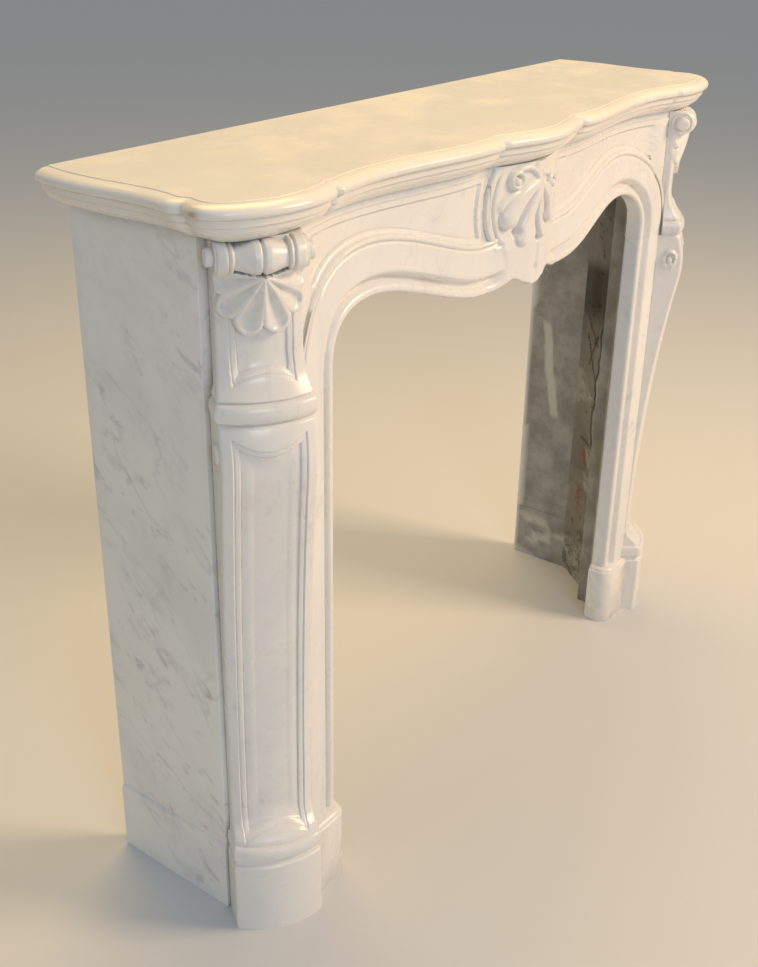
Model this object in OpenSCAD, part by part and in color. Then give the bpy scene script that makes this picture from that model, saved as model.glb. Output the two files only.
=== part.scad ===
// Serpentine marble fireplace mantel: a moulded shelf on a carved frieze, two legs with
// canted consoles, and plain side returns.
// Frame: +X right, +Y to the wall, +Z up. Origin on the floor, at the middle of the box.

/* [Overall] */
// Height from the floor to the top of the shelf
mantel_h = 1050; // [950:5:1300]
// Clear width between the two jambs
opening_w = 855; // [700:5:1100]
// Distance from the wall to the chord of the console fronts
leg_d = 285.5; // [230:0.5:360]

/* [Shelf] */
// Thickness of the shelf at its moulded edge
shelf_t = 48; // [36:1:60]
// How far the top arris lies in from the fullest line of the edge
nose_in = 19; // [10:1:24]
// How far the middle of the shelf reaches past the console chord
centre_reach = 59.5; // [50:0.5:75]
// Half width of the bowed middle of the shelf
centre_half = 108; // [80:1:130]
// How far the frieze face lies in from the fullest line of the edge
overhang = 40; // [32:1:44]

/* [Frieze] */
// Height of the joint between jamb and frieze
joint_z = 788; // [600:1:820]
// Height of the crown of the arch
crown_z = 880; // [845:1:890]
// Height of the arch beside the centre carving
dip_z = 825; // [824:1:840]
// How far the sawn back of the frieze lies behind the chord of the console fronts
frieze_behind = 63.5; // [56:0.5:70]
// How far the arch moulding stands proud of the frieze face
arch_proud = 13; // [8:1:16]
// Width of the arch moulding
arch_w = 74; // [64:1:76]
// Depth of the sunk field
field_sink = 4; // [2:0.5:6]

/* [Leg] */
// Distance from the opening edge to the middle of the console
console_off = 128; // [120:1:150]
// Turn of the console away from straight ahead
cant = 34.6; // [30:0.1:38]
// Width of the console shaft
shaft_w = 116; // [104:1:120]
// Width of the console neck
neck_w = 104; // [96:1:108]
// Width of the torus and of the console plinth
plinth_w = 125; // [122:1:130]
// Rise of the bowed front across the plinth
bow = 17; // [10:0.5:22]
// Height of the plain face of the plinth
plinth_h = 115; // [90:1:125]
// Depth of the sunk panels in the console
panel_sink = 5; // [3:0.5:8]
// Radius of the scroll roll under the shelf
roll_r = 21; // [16:0.5:22]

/* [Side return] */
// Thickness of the side slab
slab_t = 20; // [15:1:30]
// How far the skirting stands proud of the slab
skirting_proud = 3.5; // [2:0.5:8]
// Height of the skirting
skirting_h = 115; // [80:1:140]
// How far the front end of the slab lies behind the chord of the console fronts
slab_behind = 73.5; // [66:0.5:90]

/* [Hidden] */

shelf_z = mantel_h - shelf_t;        // underside of the shelf
jamb_x = opening_w / 2;              // arris of the jamb
cx = jamb_x + console_off;           // middle of the console chord
depth = leg_d + centre_reach;        // whole depth of the mantel
side_x = cx + 28;                    // outer face of the side slab
frieze_back = leg_d - frieze_behind; // sawn back of the frieze, measured from the wall
slab_d = leg_d - slab_behind;        // front end of the side slab, measured from the wall
bow_r = (plinth_w * plinth_w / 4 + bow * bow) / (2 * bow);
bow_axis = bow_r - bow;              // axis of the bow, behind the chord
marble = "#e9e4dc";

// ---- curves ----
function bez(a, b, c, d, t) =
    a * pow(1 - t, 3) + b * 3 * t * pow(1 - t, 2) + c * 3 * t * t * (1 - t) + d * pow(t, 3);
function curve(a, b, c, d, n) = [for (i = [0:n]) bez(a, b, c, d, i / n)];
function rev(v) = [for (i = [len(v) - 1:-1:0]) v[i]];
function flip(v) = [for (p = v) [-p.x, p.y]];
function left_normal(a, b) = let (u = (b - a) / norm(b - a)) [-u.y, u.x];
// Move every corner of an open line sideways by s, to the left of its run
function side_step(v, s) = let (m = len(v) - 1) [for (i = [0:m])
    let (na = left_normal(v[max(i - 1, 0)], v[max(i, 1)]),
         nb = left_normal(v[min(i, m - 1)], v[min(i + 1, m)]),
         n = (na + nb) / norm(na + nb))
    v[i] + n * s / max(n * na, 0.75)];

// ---- shelf ----
// Line of the edge set in by s from its fullest, right half, from the wall to the middle.
// y counts from the wall. The three small notches die out towards the underside.
function shelf_half(s) = let (h = centre_half, f = leg_d, k = 1 - s / overhang) concat(
    curve([cx + 72.5 - s, 0], [cx + 94 - s, f / 3], [cx + 61 - s, f / 2], [cx + 79.5 - s, f - 66], 6),
    [[cx + 78.5 - s - 9.5 * k, f - 51]],
    curve([cx + 77.5 - s, f - 38], [cx + 89.5 - 1.05 * s, f + 10 - s / 2],
          [cx - 10.5 - 0.3 * s, f + 58 - 1.05 * s], [cx - 92.5, f + 32 - s], 12),
    [[cx - 100, f + 31 - s - 7 * k]],
    curve([cx - 107, f + 30 - s], [cx - 220, f - 3 - s], [h + 97, f + 50 - s], [h + 9, f + 40 - s], 10),
    [[h, f + 40 - s - 8 * k]],
    curve([h - 9, f + 39 - s], [h - 38, f + 46 - s], [h / 3, depth - s], [0, depth - s], 5));
function set_in(s) = let (r = shelf_half(s), l = rev(flip(r))) concat(r, [for (i = [1:len(l) - 1]) l[i]]);

nose_up = 15;                        // height of the upper quarter of the bullnose
nose_down = 13;                      // half height of its lower quarter
fillet_in = 10;                      // how far the fillet under the bullnose lies in
fillet_z = 20;                       // foot of the fillet, above the underside
function edge_profile() = concat(
    [for (a = [90:-18:0]) [nose_in * (1 - cos(a)), shelf_t - nose_up + nose_up * sin(a)]],
    [[1.2, shelf_t - nose_up - 4.5], [3, shelf_t - nose_up - 7]],
    [[fillet_in, fillet_z + 4]],
    [for (a = [0:22.5:90]) [overhang - (overhang - fillet_in) * cos(a), fillet_z * (1 - sin(a))]]);

module shelf() {
    profile = edge_profile();
    n = len(set_in(0));
    k = len(profile);
    points = [for (p = profile) for (q = set_in(p[0])) [q.x, -q.y, shelf_z + p[1]]];
    color(marble) translate([0, depth / 2, 0])
        polyhedron(points, concat(
            [[for (i = [0:n - 1]) i]],
            [[for (i = [n - 1:-1:0]) (k - 1) * n + i]],
            [for (j = [0:k - 2]) for (i = [0:n - 1]) let (m = (i + 1) % n)
                [j * n + i, (j + 1) * n + m, j * n + m]],
            [for (j = [0:k - 2]) for (i = [0:n - 1]) let (m = (i + 1) % n)
                [j * n + i, (j + 1) * n + i, (j + 1) * n + m]]));
}

// ---- frieze ----
// Front face of the frieze: the shelf line set in, as a table of x against distance from the wall
face_table = [for (p = rev(set_in(overhang))) if (abs(p.x) < cx - 30 && p.y > frieze_back) [p.x, p.y]];
function face(x) = lookup(x, face_table);
end_t = neck_w / 2;                  // side plane of the neck that the frieze butts on

// Edge of the opening, right half, from the joint up to the crown and down to the middle
function arch_half() = concat(
    [[jamb_x, joint_z]],
    curve([jamb_x, joint_z + 22], [jamb_x, (crown_z + joint_z + 40) / 2],
          [jamb_x - 32, crown_z], [jamb_x - 88, crown_z], 9),
    [for (i = [1:14]) bez([jamb_x - 88, crown_z], [jamb_x - 158, crown_z],
                          [180, dip_z + 1], [95, dip_z], i / 14)],
    [[74, dip_z + 4], [58, dip_z + 10], [43, dip_z + 12]]);
apron_drop = 5;                      // how far the centre drop hangs below the dip of the arch
function opening_line() = let (r = arch_half()) concat([[jamb_x, joint_z - 20]], r,
    [[34, dip_z + 7], [20, dip_z + 2], [9, dip_z - apron_drop + 1], [0, dip_z - apron_drop],
     [-9, dip_z - apron_drop + 1], [-20, dip_z + 2], [-34, dip_z + 7]], rev(flip(r)),
    [[-jamb_x, joint_z - 20]]);

// Section of the arch moulding: how far up from the opening, how far proud of the face
arch_section = [[0, arch_proud], [9, arch_proud], [10.5, 3], [15, 1.5], [21, 4], [26, 8.5],
                [29, arch_proud], [45, arch_proud - 2], [arch_w - 10, 6], [arch_w - 8, 3.5],
                [arch_w - 6, 6], [arch_w - 2, 5.5], [arch_w, -4], [0, -4]];

module arch_moulding() {
    line = arch_half();
    n = len(line);
    k = len(arch_section);
    rings = [for (s = arch_section) side_step(line, -s[0])];
    // beside the centre carving the section stands upright, and its end dives behind the face
    points = [for (i = [0:n - 1]) for (j = [0:k - 1])
        let (q = i < n - 4 ? rings[j][i] : line[i] + [0, arch_section[j][0]])
        [q.x, -(face(q.x) + arch_section[j][1] - (i < n - 1 ? 0 : 20)), q.y]];
    polyhedron(points, concat(
        [[for (j = [0:k - 1]) j]],
        [[for (j = [k - 1:-1:0]) (n - 1) * k + j]],
        [for (i = [0:n - 2]) for (j = [0:k - 1]) let (m = (j + 1) % k)
            [i * k + j, (i + 1) * k + m, i * k + m]],
        [for (i = [0:n - 2]) for (j = [0:k - 1]) let (m = (j + 1) % k)
            [i * k + j, (i + 1) * k + j, (i + 1) * k + m]]));
}

// Slab with the serpentine face, standing s proud of it
module bowed_slab(s, back, z0, z1) {
    translate([0, 0, z0]) linear_extrude(z1 - z0)
        polygon(concat([for (p = face_table) [p[0], -p[1] - s]],
                       [[cx - 31, -back], [-cx + 31, -back]]));
}

// Upright plate drawn in x and z, running the whole depth
module through(v) {
    translate([0, 1, 0]) rotate([90, 0, 0]) linear_extrude(depth + 2) polygon(v);
}

// Outline of the sunk field of one half, above the arch
field_margin = 12;
function field_outline() = let (o = side_step(arch_half(), -(arch_w + 5)), n = len(o))
    concat([for (i = [2:n - 7]) if (o[i].y < shelf_z - field_margin - 6) o[i]],
           [[centre_half + 4, shelf_z - field_margin - 4], [cx - 82, shelf_z - field_margin - 4]]);

// Long drop shape turned about its length, for lobes of shells and leaves
module lobe(len, r) {
    rotate_extrude($fn = 8)
        polygon(concat([[0, 0]], [for (a = [30:30:150])
            [r * sin(a) * (0.55 + 0.45 * (1 - cos(a)) / 2), len * (1 - cos(a)) / 2]], [[0, len]]));
}

// Centre carving: two volutes, a fan of leaves below them and a drop at the opening
volute_z = 971;                      // height of the volutes
volute_x = 42;                       // half distance between them
module cartouche() {
    front = face(0);
    for (s = [-1, 1]) translate([s * volute_x, 6 - face(volute_x), volute_z]) rotate([90, 0, 0]) {
        translate([0, 0, 8]) rotate_extrude($fn = 32) translate([13, 0]) circle(6, $fn = 24);
        cylinder(r = 5, h = 18, $fn = 24);
    }
    for (a = [-64, -38, -13, 13, 38, 64])
        translate([0, -front + 3, volute_z - 12]) rotate([0, 180 - a, 0]) rotate([-4, 0, 0])
            lobe(76 - abs(a) * 0.25, 13);
    for (s = [-1, 0, 1]) translate([s * 16, -front + 1, dip_z + 62 - 8 * abs(s)])
        rotate([0, 180 - s * 12, 0]) lobe(58 - 6 * abs(s), 11);
}

module frieze() {
    color(marble) translate([0, depth / 2, 0]) difference() {
        union() {
            difference() {
                bowed_slab(0, frieze_back, joint_z, shelf_z);
                through(opening_line());
                for (s = [0, 1]) mirror([s, 0, 0]) intersection() {
                    through(field_outline());
                    difference() {
                        bowed_slab(field_sink, frieze_back, joint_z, shelf_z);
                        bowed_slab(-field_sink, frieze_back - 1, joint_z - 1, shelf_z + 1);
                    }
                }
            }
            for (s = [0, 1]) mirror([s, 0, 0]) arch_moulding();
            intersection() {
                cartouche();
                translate([-100, -depth, joint_z]) cube([200, depth - frieze_back, shelf_z - joint_z]);
            }
        }
        for (s = [0, 1]) mirror([s, 0, 0]) at_console()
            translate([-200, -200, joint_z - 1]) cube([200 + end_t, 400, shelf_z - joint_z + 2]);
    }
}

// ---- leg ----
// Left console's own frame: front along -Y, the opening side along +X, the chord through the origin
module at_console() {
    translate([-cx, -leg_d, 0]) rotate([0, 0, -cant]) children();
}

neck_d = -8;                         // crest of the neck, measured forward from the chord
waist_d = -12;                       // crest of the foot of the shaft
knee_d = 24;                         // crest of the knee, under the torus
torus_z = joint_z + 4;               // middle of the torus under the neck
// Crest line of the console from the floor up, as height and forward reach
function crest() = let (z = torus_z, p = plinth_h) concat(
    [[0, bow], [p, bow], [p + 2, bow - 2.5], [p + 8, bow - 3]],
    [for (a = [-90:30:90]) [p + 18 + 9 * sin(a), bow - 4 + 4 * cos(a)]],
    curve([p + 29, bow - 8], [p + 44, bow - 8], [p + 44, waist_d], [p + 66, waist_d], 6),
    [for (i = [1:10]) bez([p + 66, waist_d], [p + 315, waist_d], [z - 192, 6], [z - 90, knee_d], i / 10)],
    [for (i = [1:5]) bez([z - 90, knee_d], [z - 57, knee_d + 5], [z - 32, knee_d - 1], [z - 15, 16], i / 5)],
    [for (a = [-90:30:90]) [z + 12 * sin(a), 14 + 5.5 * cos(a)]],
    curve([z + 14, 13], [z + 30, 4], [z + 42, neck_d + 1], [z + 76, neck_d], 6),
    [[shelf_z, neck_d]]);

// Solid bounded by the bowed front, sunk by s
module bowed_front(s) {
    translate([0, bow_axis, 0]) rotate([0, 0, 225]) rotate_extrude(angle = 90, $fn = 96)
        polygon(concat([[0, 0]], [for (q = crest()) [bow_axis + q[1] - s, q[0]]], [[0, shelf_z]]));
}

// Half width of the console at each height
function side_line() = let (z = torus_z, p = plinth_h, w = plinth_w / 2) concat(
    [[w, 0], [w, p - 1], [w - 1.5, p + 1], [w - 1.5, p + 8.6], [w, p + 12], [w, p + 24], [w - 1.5, p + 28]],
    curve([w - 3, p + 30], [w - 4, p + 42], [shaft_w / 2 - 2, p + 44], [shaft_w / 2 - 1.5, p + 69], 4),
    [[shaft_w / 2, z - 390], [shaft_w / 2, z - 14], [w, z - 11], [w, z + 11]],
    curve([w - 2, z + 13], [w - 6, z + 26], [neck_w / 2 + 2, z + 36], [neck_w / 2, z + 78], 4),
    [[neck_w / 2, shelf_z]]);

console_back = 28;                   // how far back from the chord the moulded sides run
core_front = 26;                     // front plane of the core behind it
module console_front() {
    intersection() {
        bowed_front(0);
        translate([0, console_back, 0]) rotate([90, 0, 0]) linear_extrude(100)
            polygon(concat(side_line(), rev(flip(side_line()))));
    }
}

// Cutter that sinks an upright outline into the bowed front
module sunk(v) {
    difference() {
        rotate([90, 0, 0]) linear_extrude(100) polygon(v);
        bowed_front(panel_sink);
    }
}

shaft_panel_w = 66;                  // width of the long sunk panel
neck_panel_w = 62;                   // width of the short one
// Long panel: its top hangs in a shallow curve, its foot rises in one
function shaft_panel() = let (w = shaft_panel_w / 2, top = torus_z - 30, foot = plinth_h + 35) concat(
    [for (i = [-4:4]) [w * i / 4, foot + 10 * (1 - i * i / 16)]],
    [for (i = [4:-1:-4]) [w * i / 4, top - 14 * (1 - i * i / 16)]]);
function neck_panel() = let (w = neck_panel_w / 2, foot = torus_z + 42) concat(
    [for (i = [-4:4]) [w * i / 4, foot + 12 * (1 - i * i / 16)]],
    [[w, shelf_z - 70], [-w, shelf_z - 70]]);

roll_z = shelf_z - roll_r;           // axis of the scroll roll
module head_carving() {
    // scroll roll in two bobbins, with a round eye at each end
    for (s = [-1, 1]) translate([0, 1, roll_z]) rotate([0, s * 90, 0])
        rotate_extrude($fn = 48) polygon([[0, 0], [roll_r - 3, 0], [roll_r, 4], [roll_r, 12],
            [roll_r - 1.5, 20], [roll_r, 27], [roll_r - 2, 29], [roll_r, 31],
            [roll_r, end_t - 3], [roll_r - 3, end_t], [10, end_t], [9, end_t + 7], [7, end_t + 8],
            [0, end_t + 8]]);
    // shell fan hanging from the roll
    for (a = [-72, -48, -24, 0, 24, 48, 72])
        translate([0, 6, roll_z - 6]) rotate([0, 180 - a, 0]) rotate([3 + 6 * cos(a), 0, 0])
            lobe(76 - 20 * abs(sin(a)), 12.5);
}

// Jamb beside the opening, cut square behind its finished edge
jamb_reveal = 30;                    // depth of the finished edge
module jamb() {
    f = leg_d + 0.5;
    linear_extrude(joint_z)
        polygon(concat([[-jamb_x, -f + jamb_reveal], [-jamb_x, -f], [-jamb_x - 9, -f],
            [-jamb_x - 10.5, -f + 9]],
            [for (i = [1:4]) [-jamb_x - 10.5 - 16 * i / 4, -f + 9 + 2 * sin(45 * i) - 9 * pow(i / 4, 2)]],
            [[-jamb_x - 29, -f], [-cx + 40, -f], [-cx + 5, -f + 20], [-cx - 6, -slab_d],
             [-jamb_x - 78, -slab_d], [-jamb_x - 42, -slab_d - 20]]));
}

jamb_plinth_h = 122;                 // height of the plinth of the jamb
module jamb_plinth() {
    f = leg_d + 15;
    r = 26;
    linear_extrude(jamb_plinth_h)
        polygon(concat([[-jamb_x + 12.5, -f + 45]],
            [for (a = [0:15:90]) [-jamb_x + 12.5 - r + r * cos(a), -f + r - r * sin(a)]],
            [[-cx + 50, -f], [-cx + 50, -f + 45]]));
}

module half_leg() {
    difference() {
        union() {
            at_console() {
                difference() {
                    console_front();
                    sunk(shaft_panel());
                    sunk(neck_panel());
                }
                intersection() {
                    head_carving();
                    translate([-90, -60, 0]) cube([180, 60 + console_back, shelf_z]);
                }
            }
            // core of the leg behind the carved front
            intersection() {
                at_console() translate([-shaft_w / 2, core_front, 0])
                    cube([shaft_w, 160, joint_z]);
                translate([-cx - 60, -leg_d - 60, 0]) cube([cx + 60 - jamb_x - 40, leg_d + 60 - slab_d, joint_z]);
            }
            intersection() {
                at_console() translate([-shaft_w / 2, core_front, joint_z])
                    cube([shaft_w / 2 + end_t, 160, shelf_z - joint_z]);
                translate([-cx - 60, -leg_d - 60, 0])
                    cube([cx + 60 - jamb_x - 40, leg_d + 60 - slab_d, shelf_z]);
            }
            jamb();
            jamb_plinth();
        }
        translate([-cx - 200, -slab_d, -1]) cube([400, 400, mantel_h]);
    }
}

module left_leg() {
    color(marble) translate([0, depth / 2, 0]) half_leg();
}

module right_leg() {
    mirror([1, 0, 0]) left_leg();
}

// ---- side return ----
module left_side_slab() {
    color(marble) translate([-side_x, depth / 2 - slab_d, skirting_h])
        cube([slab_t, slab_d, shelf_z - skirting_h]);
}

module right_side_slab() {
    mirror([1, 0, 0]) left_side_slab();
}

// Skirting block below the slab, its proud top edge chamfered
module left_skirting() {
    w = slab_t + skirting_proud;
    color(marble) translate([-side_x + slab_t, depth / 2, 0]) rotate([90, 0, 0])
        linear_extrude(slab_d)
            polygon([[0, 0], [-w, 0], [-w, skirting_h - skirting_proud], [-slab_t, skirting_h],
                     [0, skirting_h]]);
}

module right_skirting() {
    mirror([1, 0, 0]) left_skirting();
}

// Fillet of old bedding mortar in the corner between the slab and the leg
mortar_top = shelf_z - 40;
module left_mortar() {
    in_x = -side_x + slab_t;
    color("#8f8a7f") translate([0, depth / 2, 0]) linear_extrude(mortar_top)
        polygon([[in_x, -slab_d], [in_x, -slab_d + 92], [in_x + 13, -slab_d + 75],
                 [in_x + 43, -slab_d + 34], [in_x + 58, -slab_d]]);
}

module right_mortar() {
    mirror([1, 0, 0]) left_mortar();
}

shelf();
frieze();
left_leg();
right_leg();
left_side_slab();
right_side_slab();
left_skirting();
right_skirting();
left_mortar();
right_mortar();
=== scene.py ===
import math

import bmesh
import bpy
import numpy as np
from mathutils import Matrix, Vector


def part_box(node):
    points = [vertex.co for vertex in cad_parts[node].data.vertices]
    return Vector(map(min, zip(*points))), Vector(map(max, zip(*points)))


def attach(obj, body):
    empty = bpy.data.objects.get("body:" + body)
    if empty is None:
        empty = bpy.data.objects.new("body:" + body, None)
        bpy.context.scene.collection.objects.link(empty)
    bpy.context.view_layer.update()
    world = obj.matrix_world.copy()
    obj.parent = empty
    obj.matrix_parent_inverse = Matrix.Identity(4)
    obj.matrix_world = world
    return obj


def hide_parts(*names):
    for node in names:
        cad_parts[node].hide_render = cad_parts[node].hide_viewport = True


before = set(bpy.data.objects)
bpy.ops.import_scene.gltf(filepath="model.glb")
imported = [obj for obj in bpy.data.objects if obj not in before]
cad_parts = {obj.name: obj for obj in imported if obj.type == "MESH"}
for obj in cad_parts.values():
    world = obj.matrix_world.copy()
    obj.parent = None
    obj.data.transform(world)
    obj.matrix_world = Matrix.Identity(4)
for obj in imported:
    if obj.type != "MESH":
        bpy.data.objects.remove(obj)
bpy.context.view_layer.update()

# ---------------------------------------------------------------------------------------
# Shelf. One slab of white marble with a serpentine edge: a bullnose over a fillet and an ovolo,
# with a small notch wherever two curves of the plan meet. It lies loose on frieze and legs.
# ---------------------------------------------------------------------------------------

shelf_low, shelf_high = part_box("shelf")
wall = shelf_high.y                                   # the wall's plane, in metres
top = shelf_high.z * 1000                             # this and all lengths below are in mm
shelf_z = shelf_low.z * 1000
shelf_t = top - shelf_z
depth = (shelf_high.y - shelf_low.y) * 1000
centre_reach = 59.5                                   # how far the middle stands out past the legs
leg_d = depth - centre_reach
side_x = -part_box("left_side_slab")[0].x * 1000        # outer face of the side slab
console_in = 28                                       # from there in to the middle of the console
cx = side_x - console_in
overhang, nose_in, centre_half = 40.0, 19.0, 108.0


def cubic(a, b, c, d, n):
    """Points along one curve from a to d, pulled towards b and c."""
    t = np.linspace(0, 1, n + 1)[:, None]
    a, b, c, d = (np.array(p, float) for p in (a, b, c, d))
    return a * (1 - t) ** 3 + b * 3 * t * (1 - t) ** 2 + c * 3 * t * t * (1 - t) + d * t ** 3


def shelf_line(s):
    """Edge of the shelf set in by s, from the right end of the wall round the front to the left."""
    f, h, k = leg_d, centre_half, 1 - s / overhang
    right = np.concatenate([
        cubic([cx + 72.5 - s, 0], [cx + 94 - s, f / 3], [cx + 61 - s, f / 2], [cx + 79.5 - s, f - 66], 26),
        [[cx + 78.5 - s - 2.5 * k, f - 58], [cx + 78.5 - s - 9.5 * k, f - 51],
         [cx + 78.5 - s - 3 * k, f - 44]],
        cubic([cx + 77.5 - s, f - 38], [cx + 89.5 - 1.05 * s, f + 10 - s / 2],
              [cx - 10.5 - 0.3 * s, f + 58 - 1.05 * s], [cx - 92.5, f + 32 - s], 60),
        [[cx - 100, f + 31 - s - 7 * k]],
        cubic([cx - 107, f + 30 - s], [cx - 220, f - 3 - s], [h + 97, f + 50 - s], [h + 9, f + 40 - s], 50),
        [[h, f + 40 - s - 8 * k]],
        cubic([h - 9, f + 39 - s], [h - 38, f + 46 - s], [h / 3, depth - s], [0, depth - s], 22)])
    right[:, 0] = np.minimum(right[:, 0], shelf_high.x * 1000 - s)
    return np.concatenate([right, (right * [-1, 1])[-2::-1]])


def to_frame(points):
    """From mm, with y counted from the wall and forward negative, to metres in the shared frame."""
    return np.asarray(points, float) / 1000 + [0, wall, 0]


def grid_faces(rows, columns, closed=False):
    """Quads of a grid; with closed the last column joins the first."""
    j, i = np.meshgrid(np.arange(rows - 1), np.arange(columns if closed else columns - 1), indexing="ij")
    m = (i + 1) % columns
    return np.stack([j * columns + i, j * columns + m, (j + 1) * columns + m, (j + 1) * columns + i],
                    -1).reshape(-1, 4)


def make_mesh(name, points, faces, smooth=38, near=2e-5):
    mesh = bpy.data.meshes.new(name)
    mesh.from_pydata([tuple(p) for p in to_frame(points)], [], [tuple(int(i) for i in f) for f in faces])
    mesh.validate()
    obj = bpy.data.objects.new(name, mesh)
    bpy.context.scene.collection.objects.link(obj)
    clean(obj, smooth, near)
    return obj


def clean(obj, smooth=38, near=2e-5):
    """Joins double corners, turns the normals out and marks the sharp edges."""
    work = bmesh.new()
    work.from_mesh(obj.data)
    bmesh.ops.remove_doubles(work, verts=work.verts, dist=near)
    bmesh.ops.dissolve_degenerate(work, edges=work.edges, dist=near / 20)
    bmesh.ops.recalc_face_normals(work, faces=work.faces)
    work.to_mesh(obj.data)
    work.free()
    obj.data.shade_smooth()
    obj.data.set_sharp_from_angle(angle=math.radians(smooth))


def tube(rings):
    """Closed shell from closed rings of equal length, capped flat at both ends."""
    rings = np.asarray(rings, float)
    rows, columns = rings.shape[:2]
    faces = [tuple(f) for f in grid_faces(rows, columns, True)]
    faces += [tuple(range(columns)), tuple((rows - 1) * columns + i for i in range(columns))]
    return rings.reshape(-1, 3), faces


def corner_places(mesh):
    flat = np.zeros(len(mesh.vertices) * 3)
    mesh.vertices.foreach_get("co", flat)
    return flat.reshape(-1, 3)


def put_values(mesh, **values):
    for name, value in values.items():
        layer = mesh.attributes.new(name, "FLOAT", "POINT")
        layer.data.foreach_set("value", np.asarray(value, np.float32))


def paint(obj, raw=None, stain=None, plaster=None, reach=6):
    """Corner values for the shaders: hollow (0.5 flat, 1 a groove, 0 an arris), raw, plaster, and a stain
    value that holds a real stain on the shelf and painted shade on the mortar.
    """
    mesh = obj.data
    count = len(mesh.vertices)
    co = corner_places(mesh)
    normal = np.zeros(count * 3)
    mesh.vertex_normals.foreach_get("vector", normal)
    normal = normal.reshape(-1, 3)
    edge = np.zeros(len(mesh.edges) * 2, int)
    mesh.edges.foreach_get("vertices", edge)
    edge = edge.reshape(-1, 2)
    a, b = edge[:, 0], edge[:, 1]
    span = co[b] - co[a]
    far = np.linalg.norm(span, axis=1) + 1e-9
    near = 1.0 / np.maximum(far, 0.0008)
    bend = np.zeros(count)
    share = np.zeros(count)
    np.add.at(bend, a, near * (span * normal[a]).sum(1) / far)
    np.add.at(bend, b, near * (-span * normal[b]).sum(1) / far)
    np.add.at(share, a, near)
    np.add.at(share, b, near)
    value = bend / np.maximum(share, 1e-9)
    for _ in range(reach):
        total, weight = value.copy() * 2, np.full(count, 2.0)
        np.add.at(total, a, value[b])
        np.add.at(total, b, value[a])
        np.add.at(weight, a, 1)
        np.add.at(weight, b, 1)
        value = total / weight
    places = co * 1000 - [0, wall * 1000, 0]
    nothing = np.zeros(count)
    put_values(mesh, hollow=np.clip(0.5 + value * 3.2, 0, 1),
               raw=nothing if raw is None else raw(places, normal),
               stain=nothing if stain is None else stain(places),
               plaster=nothing if plaster is None else plaster(places))


def finish_piece(obj, node, material):
    obj.data.materials.clear()
    obj.data.materials.append(material)
    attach(obj, "root")
    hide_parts(node)


def soft_step(x, a, b):
    """Rises smoothly from 0 at a to 1 at b."""
    t = np.clip((np.asarray(x, float) - a) / (b - a), 0, 1)
    return t * t * (3 - 2 * t)


def group(name, inputs, outputs):
    tree = bpy.data.node_groups.new(name, "ShaderNodeTree")
    for label, kind, value in inputs:
        socket = tree.interface.new_socket(name=label, in_out="INPUT", socket_type=kind)
        if value is not None:
            socket.default_value = value
    for label, kind in outputs:
        tree.interface.new_socket(name=label, in_out="OUTPUT", socket_type=kind)
    return tree, tree.nodes.new("NodeGroupInput"), tree.nodes.new("NodeGroupOutput")


def set_node(tree, kind, links=(), **values):
    """Adds a node, sets its fields and sockets, and links (socket, source output) pairs."""
    node = tree.nodes.new(kind)
    for key, value in values.items():
        if hasattr(node, key) and key not in node.inputs:
            setattr(node, key, value)
        else:
            node.inputs[key].default_value = value
    for socket, source in links:
        tree.links.new(source, node.inputs[socket])
    return node


def mix_colour(tree, factor, a, b, blend="MIX"):
    node = tree.nodes.new("ShaderNodeMix")
    node.data_type, node.blend_type = "RGBA", blend
    for index, value in ((0, factor), (6, a), (7, b)):
        if isinstance(value, bpy.types.NodeSocket):
            tree.links.new(value, node.inputs[index])
        else:
            node.inputs[index].default_value = value
    return node.outputs[2]


def do_math(tree, what, a, b=0.0, c=0.0):
    node = tree.nodes.new("ShaderNodeMath")
    node.operation = what
    for index, value in enumerate((a, b, c)):
        if isinstance(value, bpy.types.NodeSocket):
            tree.links.new(value, node.inputs[index])
        else:
            node.inputs[index].default_value = value
    return node.outputs[0]


def times(tree, a, b):
    return do_math(tree, "MULTIPLY", a, b)


def plus(tree, a, b):
    return do_math(tree, "ADD", a, b)


def noise(tree, vector, scale, detail, rough=0.5):
    return set_node(tree, "ShaderNodeTexNoise", [("Vector", vector)], Scale=scale, Detail=detail,
                    Roughness=rough).outputs[0]


def painted(tree, name):
    """Reads a corner value that paint() has put on the mesh."""
    return set_node(tree, "ShaderNodeAttribute", attribute_name=name).outputs["Fac"]


def ramp(tree, source, low_end, high_end, out_low=0.0, out_high=1.0):
    node = set_node(tree, "ShaderNodeMapRange", [("Value", source)], interpolation_type="SMOOTHSTEP")
    for label, value in (("From Min", low_end), ("From Max", high_end),
                         ("To Min", out_low), ("To Max", out_high)):
        node.inputs[label].default_value = value
    return node.outputs[0]


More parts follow.
